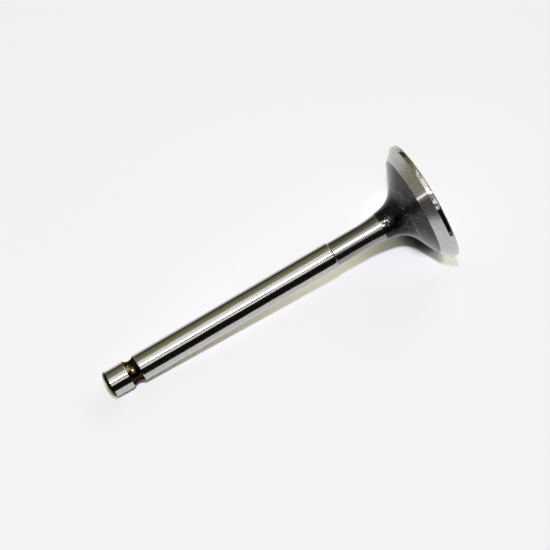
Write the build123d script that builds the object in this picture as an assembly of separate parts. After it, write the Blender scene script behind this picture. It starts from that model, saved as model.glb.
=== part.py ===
from build123d import *
from math import cos, radians, sin, tan
import os

# Engine poppet valve, one turned and ground solid.
# Frame: +Z along the stem, origin at the centre of the flat combustion face,
# so the valve stands on its head with the stem straight up. Millimetres.

# Overall
overall_length = 91.5      # combustion face to the end of the tip
shoulder_height = 27.4     # combustion face to the foot of the ground stem

# Head
head_diameter = 31.6
margin_height = 1.3        # combustion face to the outer edge of the seat face
face_chamfer = 0.25        # edge break round the combustion face
seat_angle = 45.0          # seat face to the plane of the head, degrees
seat_inner_diameter = 26.4

# Neck, from the seat face up to the turned section
cone_angle = 26.5          # underside of the head to its plane, degrees
throat_radius = 6.6        # tight curve between the head and the neck
blend_radius = 34.0        # long curve that runs out into the turned section
blend_angle = 13.4         # lean from the stem axis where the two curves meet, degrees

# Stem
neck_diameter = 6.35       # turned section above the head
stem_diameter = 7.0        # ground section, runs in the guide
shoulder_angle = 45.0      # slope of the small step between them, degrees

# Tip
groove_distance = 5.9      # tip end to the near edge of the keeper groove
groove_width = 3.1
groove_depth = 0.7
tip_radius = 0.95          # rounding of the tip's edge


def neck_curve(start_radius, start_height):
    """Corner points of the neck: head cone, tight arc, long arc, each tangent to the next."""
    steep = radians(90.0 - cone_angle)
    lean = radians(blend_angle)
    stem_radius = neck_diameter / 2
    meet_radius = stem_radius + blend_radius * (1 - cos(lean))
    cone_end_radius = meet_radius + throat_radius * (cos(lean) - cos(steep))
    cone_end_height = start_height + (start_radius - cone_end_radius) / tan(steep)
    meet_height = cone_end_height + throat_radius * (sin(steep) - sin(lean))
    top_height = meet_height + blend_radius * sin(lean)
    cone_end = (cone_end_radius, cone_end_height)
    meet = (meet_radius, meet_height)
    top = (stem_radius, top_height)
    return cone_end, meet, top, (-sin(steep), cos(steep)), (-sin(lean), cos(lean))


def valve_profile():
    """Closed half section in X (radius) and Z (height)."""
    head_radius = head_diameter / 2
    seat_inner_radius = seat_inner_diameter / 2
    seat_top = margin_height + (head_radius - seat_inner_radius) * tan(radians(seat_angle))
    cone_end, meet, neck_top, cone_way, blend_way = neck_curve(seat_inner_radius, seat_top)

    stem_radius = stem_diameter / 2
    neck_radius = neck_diameter / 2
    shoulder_foot = shoulder_height - (stem_radius - neck_radius) * tan(radians(shoulder_angle))
    groove_top = overall_length - groove_distance
    groove_foot = groove_top - groove_width
    groove_middle = (stem_radius - groove_depth, (groove_top + groove_foot) / 2)

    with BuildLine(Plane.XZ) as outline:
        Polyline(
            (0, 0),
            (head_radius - face_chamfer, 0),
            (head_radius, face_chamfer),
            (head_radius, margin_height),
            (seat_inner_radius, seat_top),
            cone_end,
        )
        TangentArc(cone_end, meet, tangent=cone_way)
        TangentArc(meet, neck_top, tangent=blend_way)
        Polyline(
            neck_top,
            (neck_radius, shoulder_foot),
            (stem_radius, shoulder_height),
            (stem_radius, groove_foot),
        )
        ThreePointArc((stem_radius, groove_foot), groove_middle, (stem_radius, groove_top))
        Polyline(
            (stem_radius, groove_top),
            (stem_radius, overall_length),
            (0, overall_length),
            (0, 0),
        )
    return outline


def build_valve():
    outline = valve_profile()
    with BuildPart() as part:
        with BuildSketch(Plane.XZ):
            add(outline)
            make_face()
        revolve(axis=Axis.Z)
    solid = part.part
    tip_rim = solid.edges().filter_by(GeomType.CIRCLE).sort_by(Axis.Z)[-1:]
    return solid.fillet(tip_radius, tip_rim)


os.makedirs("parts", exist_ok=True)
valve = build_valve()
valve.label = "valve"
export_step(valve, "parts/valve.step")
print("valve", "volume", round(valve.volume, 2), "size", valve.bounding_box().size)
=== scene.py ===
# Engine valve: one forged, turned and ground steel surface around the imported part, on a pale sheet
import math

import bpy
import numpy as np
from mathutils import Matrix, Vector


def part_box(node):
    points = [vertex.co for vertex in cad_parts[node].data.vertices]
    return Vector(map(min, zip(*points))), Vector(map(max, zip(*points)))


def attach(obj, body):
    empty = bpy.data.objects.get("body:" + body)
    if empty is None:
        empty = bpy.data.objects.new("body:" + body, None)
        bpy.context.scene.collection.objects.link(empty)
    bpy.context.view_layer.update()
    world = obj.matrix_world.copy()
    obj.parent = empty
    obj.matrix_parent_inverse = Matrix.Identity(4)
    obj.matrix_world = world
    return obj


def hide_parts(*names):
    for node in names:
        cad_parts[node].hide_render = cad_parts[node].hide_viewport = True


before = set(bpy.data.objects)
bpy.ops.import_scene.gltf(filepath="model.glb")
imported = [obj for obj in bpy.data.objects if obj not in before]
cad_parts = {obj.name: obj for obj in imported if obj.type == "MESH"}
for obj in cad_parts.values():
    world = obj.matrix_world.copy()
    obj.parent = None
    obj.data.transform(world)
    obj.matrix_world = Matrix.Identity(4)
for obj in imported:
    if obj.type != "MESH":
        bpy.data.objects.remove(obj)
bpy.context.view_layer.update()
mm = 0.001
print("frame loaded:", sorted(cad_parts))


class Wire:
    # one node output inside a formula; the operators add Math nodes
    def __init__(self, recipe, socket):
        self.recipe = recipe
        self.socket = socket

    def __add__(self, other):
        return self.recipe.math("ADD", self, other)

    def __radd__(self, other):
        return self.recipe.math("ADD", other, self)

    def __sub__(self, other):
        return self.recipe.math("SUBTRACT", self, other)

    def __rsub__(self, other):
        return self.recipe.math("SUBTRACT", other, self)

    def __mul__(self, other):
        return self.recipe.math("MULTIPLY", self, other)

    def __rmul__(self, other):
        return self.recipe.math("MULTIPLY", other, self)

    def __truediv__(self, other):
        return self.recipe.math("DIVIDE", self, other)


class Recipe:
    # the node tree of one material or of the world
    def __init__(self, tree):
        self.tree = tree
        tree.nodes.clear()

    def add(self, kind, settings=None, values=(), output=0):
        # any node: its settings first, then the values or wires of its sockets
        node = self.tree.nodes.new(kind)
        for name, setting in (settings or {}).items():
            if name == "stops":
                self.setStops(node.color_ramp, setting)
            else:
                setattr(node, name, setting)
        pairs = values.items() if isinstance(values, dict) else enumerate(values)
        for key, value in pairs:
            if isinstance(value, Wire):
                self.tree.links.new(value.socket, node.inputs[key])
            else:
                node.inputs[key].default_value = value
        return Wire(self, node.outputs[output]) if len(node.outputs) else None

    def setStops(self, ramp, stops):
        while len(ramp.elements) < len(stops):
            ramp.elements.new(0.5)
        for element, (place, colour) in zip(ramp.elements, stops):
            element.position = place
            element.color = (*colour, 1.0)

    def math(self, operation, *values):
        return self.add("ShaderNodeMath", {"operation": operation}, values)

    def mix(self, share, first, second):
        # share of the second colour over the first
        first, second = [c if isinstance(c, Wire) else (*c, 1.0) for c in (first, second)]
        return self.add("ShaderNodeMix", {"data_type": "RGBA"}, {0: share, 6: first, 7: second}, 2)

    def rise(self, value, low, high):
        # 0 below low and 1 above high, smooth between
        settings = {"interpolation_type": "SMOOTHSTEP"}
        return self.add("ShaderNodeMapRange", settings, {0: value, 1: low, 2: high, 3: 0.0, 4: 1.0})

    def band(self, value, low, high, soft):
        # 1 between low and high, with soft edges
        climb = self.rise(value, low - soft / 2, low + soft / 2)
        fall = self.rise(value, high - soft / 2, high + soft / 2)
        return climb * (1 - fall)

    def parts(self, vector):
        node = self.add("ShaderNodeSeparateXYZ", {}, [vector]).socket.node
        return [Wire(self, socket) for socket in node.outputs]

    def along(self, vector, way):
        # how far the vector reaches in a direction
        settings = {"operation": "DOT_PRODUCT"}
        return self.add("ShaderNodeVectorMath", settings, {0: vector, 1: way}, "Value")

    def noise(self, vector, scale, detail=2.0, rough=0.5):
        values = {"Vector": vector, "Scale": scale, "Detail": detail, "Roughness": rough}
        return self.add("ShaderNodeTexNoise", {}, values)


# half section of the valve, in millimetres and degrees, heights up from the combustion face
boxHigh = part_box("valve")[1]
valveSize = {
    "length": boxHigh.z / mm,
    "headRadius": boxHigh.x / mm,
    "faceChamfer": 0.25,
    "marginTop": 1.3,
    "seatAngle": 45.0,
    "seatInnerRadius": 13.2,
    "coneAngle": 26.5,
    "throatRadius": 6.6,
    "blendRadius": 34.0,
    "blendAngle": 13.4,
    "neckRadius": 3.175,
    "stemRadius": 3.5,
    "shoulderHeight": 27.4,
    "grooveDistance": 5.9,
    "grooveWidth": 3.1,
    "grooveDepth": 0.7,
    "tipRadius": 0.95,
    "edgeBreak": 0.06,     # rounding left on the ground edges
    "turns": 320,          # faces round the valve
}
shortestRun = 1e-4         # a straight run below this length is left out
zoneOrder = ["face", "margin", "seat", "neck", "groove", "stem"]    # each has its own finish


class Outline:
    # a pen that draws the half section and notes the zone of each stretch
    def __init__(self, start):
        self.points = [np.array(start, float)]
        self.zones = []

    def put(self, points, zone):
        self.points.extend(points[1:])
        self.zones.extend([zone] * (len(points) - 1))

    def runTo(self, end, count, zone):
        # straight: start + (end - start) * share, with points closer together towards both ends
        start, end = self.points[-1], np.array(end, float)
        share = (1 - np.cos(np.linspace(0, math.pi, count + 1))) / 2
        self.put(start + (end - start) * share[:, None], zone)

    def arcTo(self, end, centre, count, zone):
        # centre + radius * (cos, sin) of evenly spaced angles, the short way round
        start, end, centre = self.points[-1], np.array(end, float), np.array(centre, float)
        first = math.atan2(*(start - centre)[::-1])
        sweep = math.atan2(*(end - centre)[::-1]) - first
        sweep = (sweep + math.pi) % (2 * math.pi) - math.pi
        angle = first + sweep * np.linspace(0, 1, count + 1)
        circle = np.stack([np.cos(angle), np.sin(angle)], axis=1)
        self.put(centre + np.linalg.norm(start - centre) * circle, zone)

    def roundTo(self, corner, after, radius, arcCount, runCount, runZone, arcZone=None):
        # straight towards a corner, then the arc of that radius that leads on to the point after it;
        # the arc touches both sides at radius / tan(half the corner's angle) from the corner
        corner, after = np.array(corner, float), np.array(after, float)
        back = self.points[-1] - corner
        back /= np.linalg.norm(back)
        ahead = (after - corner) / np.linalg.norm(after - corner)
        half = math.acos(np.clip(back @ ahead, -1, 1)) / 2
        reach = radius / math.tan(half)
        middle = (back + ahead) / np.linalg.norm(back + ahead)
        if np.linalg.norm(self.points[-1] - corner) - reach > shortestRun:
            self.runTo(corner + back * reach, runCount, runZone)
        centre = corner + middle * radius / math.sin(half)
        self.arcTo(corner + ahead * reach, centre, arcCount, arcZone or runZone)


def drawOutline(size):
    # radius and height along the half section, from the middle of the combustion face to the middle
    # of the tip: the face, the margin, the seat line, a cone, two arcs tangent to the cone, to each
    # other and to the neck, the shoulder, the stem, one arc for the groove, and the rounded tip
    s = size
    steep = math.radians(90 - s["coneAngle"])
    lean = math.radians(s["blendAngle"])
    seatRise = (s["headRadius"] - s["seatInnerRadius"]) * math.tan(math.radians(s["seatAngle"]))
    meetRadius = s["neckRadius"] + s["blendRadius"] * (1 - math.cos(lean))
    coneRadius = meetRadius + s["throatRadius"] * (math.cos(lean) - math.cos(steep))
    coneHeight = s["marginTop"] + seatRise + (s["seatInnerRadius"] - coneRadius) / math.tan(steep)
    meetHeight = coneHeight + s["throatRadius"] * (math.sin(steep) - math.sin(lean))
    # the neck's two arcs round off these two corners
    throatReach = s["throatRadius"] * math.tan((steep - lean) / 2)
    blendReach = s["blendRadius"] * math.tan(lean / 2)
    throatCorner = (meetRadius + throatReach * math.sin(lean),
                    meetHeight - throatReach * math.cos(lean))
    blendCorner = (s["neckRadius"], meetHeight + blendReach * math.cos(lean))

    faceEdge = (s["headRadius"] - s["faceChamfer"], 0.0)
    marginFoot = (s["headRadius"], s["faceChamfer"])
    marginHead = (s["headRadius"], s["marginTop"])
    seatInner = (s["seatInnerRadius"], s["marginTop"] + seatRise)
    shoulderFoot = (s["neckRadius"], s["shoulderHeight"] - (s["stemRadius"] - s["neckRadius"]))
    shoulderHead = (s["stemRadius"], s["shoulderHeight"])
    grooveHigh = s["length"] - s["grooveDistance"]
    grooveLow = grooveHigh - s["grooveWidth"]
    grooveRadius = (s["grooveWidth"] ** 2 / 4 + s["grooveDepth"] ** 2) / (2 * s["grooveDepth"])
    grooveCentre = (s["stemRadius"] - s["grooveDepth"] + grooveRadius, (grooveLow + grooveHigh) / 2)
    tipCorner = (s["stemRadius"], s["length"])
    tipCentre = (0.0, s["length"])
    tiny = s["edgeBreak"]

    # each corner, the point after it, the arc's radius, and the steps of its arc and the run before it
    pen = Outline((0.0, 0.0))
    pen.roundTo(faceEdge, marginFoot, tiny, 4, 16, "face")
    pen.roundTo(marginFoot, marginHead, tiny, 4, 3, "margin")
    pen.roundTo(marginHead, seatInner, tiny, 5, 6, "margin")
    pen.roundTo(seatInner, throatCorner, tiny, 5, 9, "seat")
    pen.roundTo(throatCorner, blendCorner, s["throatRadius"], 52, 36, "neck")
    pen.roundTo(blendCorner, shoulderFoot, s["blendRadius"], 46, 1, "neck")
    pen.roundTo(shoulderFoot, shoulderHead, tiny, 4, 12, "neck")
    pen.roundTo(shoulderHead, (s["stemRadius"], grooveLow), tiny, 4, 3, "neck", "stem")
    pen.runTo((s["stemRadius"], grooveLow), 18, "stem")
    pen.arcTo((s["stemRadius"], grooveHigh), grooveCentre, 22, "groove")
    pen.roundTo(tipCorner, tipCentre, s["tipRadius"], 18, 8, "stem")
    pen.runTo(tipCentre, 6, "stem")
    return np.array(pen.points), pen.zones


def waves(places, lengths, count, seed):
    # sum of cos(2 pi * place along a random direction / wavelength + a random phase), over the root of
    # their number; mostly within -1 to 1
    dice = np.random.default_rng(seed)
    ways = dice.normal(size=(count, 3))
    ways /= np.linalg.norm(ways, axis=1)[:, None]
    ways *= 2 * math.pi / dice.uniform(*lengths, size=count)[:, None]
    phases = dice.uniform(0, 2 * math.pi, count)
    return np.cos(places @ ways.T + phases).sum(axis=-1) / math.sqrt(count)


forgedSkin = {
    # unevenness left by forging: height in mm, shortest and longest wave in mm, number of waves, seed
    "grain": (0.007, (0.5, 1.3), 60, 3),
    "swell": (0.012, (3.0, 7.0), 12, 5),
    "foot": 0.5,              # it grows over this distance from the seat
    "top": 12.6,              # and dies out below this height
    "fade": 1.6,
}


def spinValve(size, skin):
    # ring k is (radius cos a, radius sin a, height) at even angles a; one vertex closes each pole
    points, zones = drawOutline(size)
    turns = size["turns"]
    angle = np.linspace(0, 2 * math.pi, turns, endpoint=False)
    circle = np.stack([np.cos(angle), np.sin(angle)], axis=1)
    rings = points[1:-1]
    grid = np.empty((len(rings), turns, 3))
    grid[..., :2] = rings[:, None, :1] * circle
    grid[..., 2] = rings[:, 1:]

    # the forged skin moves along the outline's own normal, between the seat and the turned section
    along = np.gradient(rings, axis=0)
    along /= np.linalg.norm(along, axis=1)[:, None]
    outward = np.stack([along[:, 1], -along[:, 0]], axis=1)
    seatInner = size["marginTop"] + size["headRadius"] - size["seatInnerRadius"]
    rise = np.clip((rings[:, 1] - seatInner) / skin["foot"], 0, 1)
    fall = np.clip((skin["top"] - rings[:, 1]) / skin["fade"], 0, 1)
    depth = sum(height * waves(grid, *wave) for height, *wave in (skin["grain"], skin["swell"]))
    depth *= (rise * fall)[:, None]
    grid[..., :2] += depth[..., None] * outward[:, None, :1] * circle
    grid[..., 2] += depth * outward[:, 1:]

    index = np.arange(len(rings) * turns).reshape(len(rings), turns)
    after = np.roll(index, -1, axis=1)
    quads = np.stack([index[:-1], after[:-1], after[1:], index[1:]], axis=-1).reshape(-1, 4)
    poles = [[0, 0, points[0][1]], [0, 0, points[-1][1]]]
    vertices = np.concatenate([grid.reshape(-1, 3), poles])
    low = np.stack([np.full(turns, index.size), after[0], index[0]], axis=-1)
    high = np.stack([np.full(turns, index.size + 1), index[-1], after[-1]], axis=-1)
    mesh = bpy.data.meshes.new("valveSteel")
    mesh.from_pydata((vertices * mm).tolist(), [], quads.tolist() + low.tolist() + high.tolist())
    # the zones of the rows of quads, then of the triangles round the two poles
    rowZones = [zoneOrder.index(zone) for zone in zones[1:-1] + zones[:1] + zones[-1:]]
    mesh.polygons.foreach_set("material_index", np.repeat(rowZones, turns).astype(np.int32))
    mesh.polygons.foreach_set("use_smooth", np.ones(len(mesh.polygons), bool))
    mesh.update()
    return mesh


# colours are linear, a noise is its scale per millimetre, detail and roughness, and depths are in mm
onAxis = 0.01                                # keeps a division by the radius sound on the axis
markTurn = {"Anisotropic Rotation": 0.25}    # highlights spread across marks that run round the axis


def newMaterial(name):
    material = bpy.data.materials.new(name)
    material.use_nodes = True
    return material, Recipe(material.node_tree)


def cylinderPlace(recipe):
    # object place in millimetres, its three parts, and its distance from the axis
    place = recipe.add("ShaderNodeTexCoord", {}, (), "Object")
    place = recipe.add("ShaderNodeVectorMath", {"operation": "SCALE"}, {0: place, "Scale": 1 / mm})
    x, y, z = recipe.parts(place)
    radius = recipe.math("SQRT", x * x + y * y)
    return place, x, y, z, radius


def sideOf(x, y, radius, degrees):
    # cosine of the angle round the axis from a side of the valve
    side = math.radians(degrees)
    return (x * math.sin(side) - y * math.cos(side)) / (radius + onAxis)


def lineNoise(recipe, x, y, radius, across, around, perMm, detail=2.0):
    # noise drawn out round the axis: slow round the valve, quick across the marks
    safe = radius + onAxis
    vector = recipe.add("ShaderNodeCombineXYZ", {}, [
        x / safe * around, y / safe * around, across * perMm])
    return recipe.noise(vector, 1.0, detail)


def bumpNormal(recipe, height):
    return recipe.add("ShaderNodeBump", {}, {"Strength": 1.0, "Distance": mm, "Height": height})


def finishShader(recipe, colour, metallic, rough, normal, constants):
    return recipe.add("ShaderNodeBsdfPrincipled", {}, {
        "Base Color": colour, "Metallic": metallic, "Roughness": rough, "Normal": normal, **constants})


steel = (0.60, 0.59, 0.57)
tipEdgeColours = {
    "darkLine": (0.012, 0.011, 0.008),
    "darkLineFrom": (1.02, 0.90),     # distances below the end at which it starts and is full
    "straw": (0.10, 0.088, 0.018),
    "strawFrom": (0.60, 0.40),
    "bareFrom": (0.10, 0.05),
    "bareRadius": (2.6, 2.2),      # inside this the flat end is bare again
}
groundMarks = {
    # shared by the ground surfaces
    "around": (1.5, 0.6),          # how soon the fine and the broad marks change round the valve
    "fineDetail": 3.0,
    "broader": 9,                  # broad marks against fine ones
    "broadDepth": 2.0,
    "cloud": (0.35, 3.0),
    "cloudRough": 0.25,
    "cloudTone": 0.10,
    "grain": (2.2, 3.0, 0.7),
    "grainFrom": (0.35, 0.65),
    "worn": 0.45,                  # the darkest steel against the lightest
}
# "across" is the way over a surface's marks, "fine" their number per mm, "stretch" how far they draw
# out a highlight, "ripples" and "drawn" the scale of its ripples round the valve and across the marks
finishes = {
    "stem": {
        "colour": steel, "rough": 0.17, "stretch": 0.85, "across": "z", "fine": 14.0,
        "depth": 0.0004, "streak": 0.25, "tone": 0.40, "grain": 0.16, "ripples": 2.2, "drawn": 0.10,
        "ripple": 0.013, "tipEdge": tipEdgeColours},
    "seat": {
        "colour": steel, "rough": 0.24, "stretch": 0.60, "across": "slope", "fine": 10.0,
        "depth": 0.0012, "streak": 0.30, "tone": 0.22, "grain": 0.60, "ripples": 1.6, "drawn": 0.10,
        "ripple": 0.014, "grind": 0.32, "grindShare": 0.20, "glint": 0.125, "glintShare": 0.0034,
        "lean": 0.085, "spread": 0.06},
    "margin": {
        "colour": steel, "rough": 0.06, "stretch": 0.50, "across": "z", "fine": 8.0,
        "depth": 0.0004, "streak": 0.20, "tone": 0.20, "grain": 0.60, "ripples": 0.60, "drawn": 0.90,
        "ripple": 0.22},
    "face": {
        "colour": (0.55, 0.54, 0.52), "rough": 0.30, "stretch": 0.80, "across": "r", "fine": 5.0,
        "depth": 0.0020, "streak": 0.30, "tone": 0.25, "grain": 0.40, "ripples": 0.5, "drawn": 0.10,
        "ripple": 0.010},
}


def groundSteel(name, finish, marks, size):
    # bright steel with the fine lines of a grinding wheel round the axis, and long ripples across them
    material, recipe = newMaterial(name)
    place, x, y, z, radius = cylinderPlace(recipe)
    across = {"z": z, "r": radius, "slope": (radius - z) * math.sqrt(0.5)}[finish["across"]]
    fineAround, broadAround = marks["around"]
    fine = lineNoise(recipe, x, y, radius, across, fineAround, finish["fine"], marks["fineDetail"])
    broad = lineNoise(recipe, x, y, radius, across, broadAround, finish["fine"] / marks["broader"])
    drawnOut = recipe.add("ShaderNodeCombineXYZ", {}, [
        x * finish["ripples"], y * finish["ripples"], across * finish["drawn"]])
    ripples = recipe.noise(drawnOut, 1.0)
    cloud = recipe.noise(place, *marks["cloud"])
    streaks = finish["streak"] * (broad - 0.5) * 2
    rough = finish["rough"] * (1 + streaks + marks["cloudRough"] * (cloud - 0.5))
    grain = recipe.rise(recipe.noise(place, *marks["grain"]), *marks["grainFrom"])
    shade = broad * finish["tone"] + (grain - 0.5) * finish["grain"] + cloud * marks["cloudTone"]
    colour = recipe.mix(shade, finish["colour"], [c * marks["worn"] for c in finish["colour"]])
    if "tipEdge" in finish:
        # colours on the rounded edge of the tip: a dark line, then straw, and a bare end
        tipEdge = finish["tipEdge"]
        darkLine, straw, bare = [
            recipe.rise(z, *(size["length"] - below for below in tipEdge[key]))
            for key in ("darkLineFrom", "strawFrom", "bareFrom")]
        colour = recipe.mix(darkLine, colour, tipEdge["darkLine"])
        colour = recipe.mix(straw, colour, tipEdge["straw"])
        inside = recipe.rise(radius * -1.0, *(-edge for edge in tipEdge["bareRadius"]))
        colour = recipe.mix(inside * bare, colour, finish["colour"])
    height = (fine * finish["depth"] + broad * finish["depth"] * marks["broadDepth"]
              + ripples * finish["ripple"])
    normal = bumpNormal(recipe, height)
    surface = finishShader(recipe, colour, 1.0, rough, normal, {
        "Anisotropic": finish["stretch"], **markTurn})
    if "grind" in finish:
        # coarse wheel marks smear a lamp into a streak across them
        smear = finishShader(recipe, colour, 1.0, finish["grind"], normal, {
            "Anisotropic": 1.0, **markTurn})
        surface = recipe.add("ShaderNodeMixShader", {}, {0: finish["grindShare"], 1: surface, 2: smear})
        # a few steep walls of those marks face nearly square out from the axis, leaning a little up the
        # stem, and draw a lamp as one thin line
        wall = recipe.add("ShaderNodeCombineXYZ", {}, [
            x / radius, y / radius, (broad - 0.5) * finish["spread"] + finish["lean"]])
        glint = finishShader(recipe, colour, 1.0, finish["glint"], wall, {})
        surface = recipe.add("ShaderNodeMixShader", {}, {0: finish["glintShare"], 1: surface, 2: glint})
    recipe.add("ShaderNodeOutputMaterial", {}, {"Surface": surface})
    return material


neckFinish = {
    "skin": (0.010, 0.0095, 0.010),
    "skinPale": (0.054, 0.049, 0.055),
    "paleFrom": (0.47, 0.60),
    "grain": (2.2, 4.0, 0.72),
    "patches": (0.5, 2.0),
    "patchShare": 0.25,
    "skinRough": 0.18,
    "grainRough": 0.30,
    "skinMetallic": 0.92,
    "stretch": 0.45,
    "sheen": 0.08,
    "sheenRough": 0.40,
    "sheenTint": (0.88, 0.86, 1.0),
    "nubs": (2.4, 1.0),
    "nubDepth": 0.045,
    "pits": (7.0, 2.0, 0.6),
    "pitDepth": 0.020,
    "turned": (0.31, 0.30, 0.29),
    "turnedWorn": 0.6,        # its darkest streaks against its lightest
    "turnedTone": 0.16,
    "turnedRough": 0.21,
    "broadRough": 0.5,
    "lineRough": 0.3,
    "lines": (2.0, 7.0, 3.0),     # marks of the turning tool: round the valve, per millimetre, detail
    "lineDepth": 0.0012,
    "broad": (0.8, 0.9),
    "broadDepth": 0.0010,
    "border": 13.45,          # height of the edge of the dark skin
    "borderSoft": 0.10,
    "borderWander": 0.14,
    "wander": (0.7, 3.0),
    "paintedSparkle": (0.50, 0.48, 0.50),
    "paintedSparkleFoot": 9.8,         # the painted highlight specks thin out from the border down to here
    "paintedSparkleSide": 29.0,        # side of the valve that faces the camera and lamp, where they're painted, degrees
    "paintedSparkleWithin": (0.91, 0.99),  # cosine of the angle from there where they start and are fullest
    "paintedSparkleCrowd": 0.26,
    "paintedSparkleFrom": (0.735, 0.755),
}


def neckSteel(name, finish):
    # dark forged skin under the head, cut off sharply where the neck was turned bright
    material, recipe = newMaterial(name)
    place, x, y, z, radius = cylinderPlace(recipe)
    wander = (recipe.noise(place, *finish["wander"]) - 0.5) * 2 * finish["borderWander"]
    border, soft = finish["border"], finish["borderSoft"]
    bright = recipe.rise(z + wander, border - soft, border + soft)
    lines = lineNoise(recipe, x, y, radius, z, *finish["lines"])
    broad = lineNoise(recipe, x, y, radius, z, *finish["broad"])
    grain, pits, nubs, patches = [
        recipe.noise(place, *finish[key]) for key in ("grain", "pits", "nubs", "patches")]
    blotches = grain * (1 - finish["patchShare"]) + patches * finish["patchShare"]
    skin = recipe.mix(recipe.rise(blotches, *finish["paleFrom"]), finish["skin"], finish["skinPale"])
    worn = [c * finish["turnedWorn"] for c in finish["turned"]]
    turned = recipe.mix(broad * finish["turnedTone"], finish["turned"], worn)
    # painted highlight: bright metal specks on the side where the lamp's highlight falls, close
    # together at the border and thinning out below it
    facing = sideOf(x, y, radius, finish["paintedSparkleSide"])
    share = recipe.rise(z, finish["paintedSparkleFoot"], border) * recipe.rise(facing, *finish["paintedSparkleWithin"])
    bare = recipe.rise(share * finish["paintedSparkleCrowd"] + nubs, *finish["paintedSparkleFrom"])
    colour = recipe.mix(bright, recipe.mix(bare, skin, finish["paintedSparkle"]), turned)
    skinRough = finish["skinRough"] + finish["grainRough"] * (grain - 0.5)
    uneven = finish["broadRough"] * (broad - 0.5) + finish["lineRough"] * (lines - 0.5)
    turnedRough = finish["turnedRough"] * (1 + uneven)
    rough = skinRough + bright * (turnedRough - skinRough)
    metallic = finish["skinMetallic"] + bright * (1 - finish["skinMetallic"])
    skinHeight = nubs * finish["nubDepth"] + pits * finish["pitDepth"]
    turnedHeight = lines * finish["lineDepth"] + broad * finish["broadDepth"]
    normal = bumpNormal(recipe, (1 - bright) * skinHeight + bright * turnedHeight)
    surface = finishShader(recipe, colour, metallic, rough, normal, {
        "Anisotropic": finish["stretch"], **markTurn, "Sheen Weight": finish["sheen"],
        "Sheen Roughness": finish["sheenRough"], "Sheen Tint": (*finish["sheenTint"], 1.0)})
    recipe.add("ShaderNodeOutputMaterial", {}, {"Surface": surface})
    return material


grooveFinish = {
    "deep": (0.031, 0.022, 0.014),
    "straw": (0.155, 0.120, 0.065),
    "strawFrom": (2.2, 1.0),      # distances below the groove's upper edge where it starts and is full
    "strawCloud": (0.30, 0.60),
    "strawSide": 70.0,            # side of the valve where it shows, degrees
    "strawWithin": (0.25, 0.75),  # cosine of the angle from that side
    "cloud": (1.1, 3.0),
    "rough": 0.205,
    "roughSpan": (0.8, 0.5),      # least share of it, and what the clouds add
    "stretch": 0.4,
    "edgeTint": (0.33, 0.28, 0.24),
    "lines": (1.5, 9.0),
    "lineDepth": 0.001,
}


def grooveSteel(name, finish, size):
    # keeper groove: heat-darkened, straw coloured towards the tip
    material, recipe = newMaterial(name)
    place, x, y, z, radius = cylinderPlace(recipe)
    high = size["length"] - size["grooveDistance"]
    cloud = recipe.noise(place, *finish["cloud"])
    rim = recipe.rise(z + (cloud - 0.5), *(high - below for below in finish["strawFrom"]))
    facing = sideOf(x, y, radius, finish["strawSide"])
    patch = recipe.rise(cloud, *finish["strawCloud"])
    straw = rim * patch * recipe.rise(facing, *finish["strawWithin"])
    colour = recipe.mix(straw, finish["deep"], finish["straw"])
    lines = lineNoise(recipe, x, y, radius, z, *finish["lines"])
    least, more = finish["roughSpan"]
    normal = bumpNormal(recipe, lines * finish["lineDepth"])
    surface = finishShader(recipe, colour, 1.0, finish["rough"] * (least + more * cloud), normal, {
        "Anisotropic": finish["stretch"], **markTurn, "Specular Tint": (*finish["edgeTint"], 1.0)})
    recipe.add("ShaderNodeOutputMaterial", {}, {"Surface": surface})
    return material


def buildValve():
    mesh = spinValve(valveSize, forgedSkin)
    for zone in zoneOrder:
        if zone == "neck":
            material = neckSteel("neckSkin", neckFinish)
        elif zone == "groove":
            material = grooveSteel("grooveSteel", grooveFinish, valveSize)
        else:
            material = groundSteel(zone + "Steel", finishes[zone], groundMarks, valveSize)
        mesh.materials.append(material)
    valve = bpy.data.objects.new("valveSteel", mesh)
    bpy.context.scene.collection.objects.link(valve)
    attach(valve, "root")
    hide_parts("valve")
    return valve


valve = buildValve()
print("valve:", len(valve.data.polygons), "faces")


# the sheet that the valve lies on touches the rim and the edge of the tip, on the far side of the valve
view = {
    "azimuth": 45.0,        # side of the valve that faces up off the sheet, degrees
    "turn": 29.5,           # valve's turn on the sheet from the camera's level
    "lookDown": 67.5,       # camera's height above the sheet, degrees
    "lens": 131.0,
    "right": 37.7,          # combustion face from the middle of the view, and its distance, mm
    "up": 18.7,
    "away": 498.0,
    "gap": 0.02,            # mm left between the valve and the sheet
}


def layOut(size, look):
    # directions of the sheet and camera in the valve's frame
    touchLow = np.array([size["headRadius"], size["marginTop"]])
    touchHigh = np.array([size["stemRadius"], size["length"] - size["tipRadius"]])
    slope = math.atan2(touchLow[0] - touchHigh[0], touchHigh[1] - touchLow[1])
    side = math.radians(look["azimuth"])
    outward = Vector((math.sin(side), -math.cos(side), 0))
    up = Vector((0, 0, 1))
    normal = outward * math.cos(slope) - up * math.sin(slope)
    headward = (-up + normal * up.dot(normal)).normalized()
    right = Matrix.Rotation(math.radians(-look["turn"]), 3, normal) @ headward
    away = normal.cross(right)
    tilt = math.radians(90 - look["lookDown"])
    back = normal * math.cos(tilt) - away * math.sin(tilt)
    lift = back.cross(right)
    place = (-right * look["right"] - lift * look["up"] + back * look["away"]) * mm
    touch = (-outward * touchLow[0] + up * touchLow[1]) * mm
    return {
        "normal": normal, "right": right, "away": away, "back": back, "lift": lift, "place": place,
        "tipward": -headward, "past": normal.cross(headward),
        "touch": touch - normal * look["gap"] * mm}


lay = layOut(valveSize, view)
camera = bpy.data.objects.new("camera", bpy.data.cameras.new("camera"))
camera.data.lens = view["lens"]
camera.matrix_world = Matrix.Translation(lay["place"]) @ Matrix(
    (lay["right"], lay["lift"], lay["back"])).transposed().to_4x4()
bpy.context.scene.collection.objects.link(camera)
bpy.context.scene.camera = camera
print("camera placed")


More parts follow.
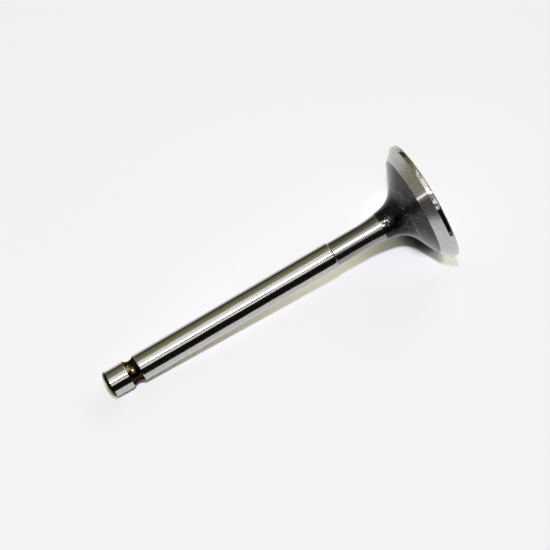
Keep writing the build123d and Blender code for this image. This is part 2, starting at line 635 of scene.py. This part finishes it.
sheetLook = {
    "paper": (0.84, 0.84, 0.84),
    # painted shade and painted light: by the openness of the sky above, the sheet as the camera and the
    # metal see it takes its colour, and a glow of its own
    "colour": [
        (0.37, (0.08, 0.08, 0.08)), (0.41, (0.17, 0.17, 0.16)), (0.44, (0.78, 0.78, 0.74)),
        (0.465, (1.0, 1.0, 0.96)), (0.53, (0.97, 0.97, 0.96)), (0.57, (0.89, 0.89, 0.92)),
        (0.60, (0.83, 0.83, 0.89)), (0.64, (0.70, 0.70, 0.83)), (0.67, (0.40, 0.40, 0.53)),
        (0.74, (0.30, 0.30, 0.395)), (1.0, (0.238, 0.238, 0.315))],
    "paintedGlow": [
        (0.45, (0.0, 0.0, 0.0)), (0.48, (0.02, 0.015, 0.0)), (0.55, (0.045, 0.035, 0.01)),
        (0.60, (0.10, 0.09, 0.03)), (0.64, (0.215, 0.205, 0.07)), (0.67, (0.49, 0.48, 0.33)),
        (0.74, (0.55, 0.545, 0.42)), (1.0, (0.58, 0.575, 0.476))],
    "skyReach": 0.06,              # only what stands nearer than this hides the sky; metres, as below
    "skySamples": 64,
    "paintedTipLift": 0.08,               # painted light: the sheet's shade is made lighter towards the tip
    "paintedTipLiftFrom": (0.056, 0.084),
    "left": 0.125,                 # reach of the sheet from where the rim touches it
    "right": 0.25,
    "near": 0.10,
    "far": 0.085,
    "mirrorPast": (0.018, 0.045),  # where the metal stops mirroring the sheet, past the valve's side
    "mirrorTip": (0.095, 0.115),   # and past its tip
}


def buildSheet(look):
    # a flat sheet, clear from behind
    right, away = lay["right"], lay["away"]
    corners = [
        -right * look["left"] - away * look["near"], right * look["right"] - away * look["near"],
        right * look["right"] + away * look["far"], -right * look["left"] + away * look["far"]]
    mesh = bpy.data.meshes.new("sheet")
    mesh.from_pydata([tuple(lay["touch"] + c) for c in corners], [], [(0, 1, 2, 3)])
    sheet = bpy.data.objects.new("sheet", mesh)
    bpy.context.scene.collection.objects.link(sheet)
    material, recipe = newMaterial("sheetPaper")
    seen = recipe.add("ShaderNodeLightPath", {}, (), "Is Camera Ray")
    mirrored = recipe.add("ShaderNodeLightPath", {}, (), "Is Glossy Ray")
    place = recipe.add("ShaderNodeTexCoord", {}, (), "Object")
    tipward = recipe.along(place, lay["tipward"])
    samples = {"samples": look["skySamples"]}
    sky = recipe.add("ShaderNodeAmbientOcclusion", samples, {"Distance": look["skyReach"]}, "AO")
    # painted light: openness raised towards the tip lightens the sheet's shade there
    openness = sky + recipe.rise(tipward, *look["paintedTipLiftFrom"]) * look["paintedTipLift"]
    # painted shade and painted light: the sheet's colour and glow follow its openness to the sky, not
    # the lamps' shadow alone
    colour = recipe.add("ShaderNodeValToRGB", {"stops": look["colour"]}, [openness])
    paintedGlow = recipe.add("ShaderNodeValToRGB", {"stops": look["paintedGlow"]}, [openness])
    paper = recipe.add("ShaderNodeBsdfPrincipled", {}, {
        "Base Color": recipe.mix(seen + mirrored, look["paper"], colour),
        "Roughness": 1.0, "Specular IOR Level": 0.0,
        "Emission Color": recipe.mix(seen + mirrored, (0.0, 0.0, 0.0), paintedGlow), "Emission Strength": 1.0})
    material.cycles.emission_sampling = "NONE"
    clear = recipe.add("ShaderNodeBsdfTransparent")
    behind = recipe.add("ShaderNodeNewGeometry", {}, (), "Backfacing")
    # past the valve the metal mirrors only a strip of the sheet, then the dark room
    pastValve = recipe.rise(recipe.along(place, lay["past"]), *look["mirrorPast"])
    pastTip = recipe.rise(tipward, *look["mirrorTip"])
    beyond = recipe.math("MAXIMUM", pastValve, pastTip) * mirrored
    both = recipe.add("ShaderNodeMixShader", {}, {
        0: recipe.math("MAXIMUM", behind, beyond), 1: paper, 2: clear})
    recipe.add("ShaderNodeOutputMaterial", {}, {"Surface": both})
    mesh.materials.append(material)


room = {
    "white": 0.905,                # the background as the camera sees it, linear
    "dark": (0.008, 0.008, 0.006),
    # panels: degrees round the valve from the camera's side, less than 0 being up; soft edge, colour
    "panels": [
        (-104, -46, 5, (0.130, 0.130, 0.066)),
        (-90, -46, 10, (0.205, 0.205, 0.112)),
        (-68, -46, 8, (0.34, 0.335, 0.22)),
        (-46, 19, 4, (1.20, 1.20, 1.17)),
        (-3.2, 3.4, 1.6, (0.06, 0.06, 0.07)),
    ],
    # beyond the tip, on the upper side
    "tan": (0.28, 0.25, 0.18),
    "tanBand": (-170, -25, 25),
    "tanFrom": (9, 15),            # degrees towards the tip
    "front": (-46, 19, 8),         # here it starts this many degrees further on
    "frontFurther": 15,
    # broad light from beyond the head
    "window": (3.10, 2.95, 2.60),
    "windowBand": (-88, -30, 12),
    "windowFrom": (22, 34),        # degrees towards the head
    # the table outside the sheet, in the metal
    "table": (0.80, 0.79, 0.77),
    "tableFrom": (0.09, 0.33),     # sine of the angle below the sheet's level
    "tableDrop": 0.21,             # its edge is lower by this much well beyond the tip
    "tableDropFrom": (62, 76),     # degrees towards the tip
}


def buildWorld(look):
    # white to the camera; to everything else a studio of bright and dark panels
    world = bpy.data.worlds.new("studio")
    world.use_nodes = True
    bpy.context.scene.world = world
    recipe = Recipe(world.node_tree)
    way = recipe.add("ShaderNodeTexCoord", {}, (), "Generated")
    facing = Vector((lay["back"].x, lay["back"].y, 0)).normalized()
    lower = Vector((0, 0, -1)).cross(facing)
    if lower.dot(lay["lift"]) > 0:
        lower = -lower
    degrees = 180 / math.pi
    around = recipe.math("ARCTAN2", recipe.along(way, lower), recipe.along(way, facing)) * degrees
    slant = recipe.math("ARCSINE", recipe.parts(way)[2] * -1.0) * degrees
    tipSlant = slant * -1.0
    colour = look["dark"]
    for low, high, edge, panel in look["panels"]:
        colour = recipe.mix(recipe.band(around, low, high, edge), colour, panel)
    tan = recipe.mix(recipe.band(around, *look["tanBand"]), look["dark"], look["tan"])
    further = recipe.band(around, *look["front"]) * look["frontFurther"]
    colour = recipe.mix(recipe.rise(tipSlant - further, *look["tanFrom"]), colour, tan)
    window = recipe.mix(recipe.band(around, *look["windowBand"]), look["dark"], look["window"])
    colour = recipe.mix(recipe.rise(slant, *look["windowFrom"]), colour, window)
    below = recipe.along(way, lay["normal"] * -1.0)
    drop = recipe.rise(tipSlant, *look["tableDropFrom"]) * look["tableDrop"]
    colour = recipe.mix(recipe.rise(below - drop, *look["tableFrom"]), colour, look["table"])
    seenByCamera = recipe.add("ShaderNodeLightPath", {}, (), "Is Camera Ray")
    seen = recipe.mix(seenByCamera, colour, [look["white"]] * 3)
    ground = recipe.add("ShaderNodeBackground", {}, {"Color": seen, "Strength": 1.0})
    recipe.add("ShaderNodeOutputWorld", {}, {"Surface": ground})


keyLamp = {
    "colour": (0.88, 0.89, 1.0),
    "power": 2.40,
    "tilt": 12.5,                  # degrees above the camera, from the valve
    "size": 0.032,                 # metres across, and from the valve
    "away": 0.55,
}


def buildKey(look):
    # small bluish lamp just above the camera
    data = bpy.data.lights.new("key", "AREA")
    data.shape = "DISK"
    data.size = look["size"]
    data.energy = look["power"]
    data.color = look["colour"]
    key = bpy.data.objects.new("key", data)
    tilt = math.radians(look["tilt"])
    way = lay["back"] * math.cos(tilt) + lay["lift"] * math.sin(tilt)
    middle = Vector((0, 0, valveSize["length"] / 2 * mm))
    key.location = middle + way * look["away"]
    key.rotation_mode = "QUATERNION"
    key.rotation_quaternion = way.to_track_quat("Z", "Y")
    bpy.context.scene.collection.objects.link(key)


buildSheet(sheetLook)
buildWorld(room)
buildKey(keyLamp)
bpy.context.scene.view_settings.view_transform = "Standard"
print("studio lit")
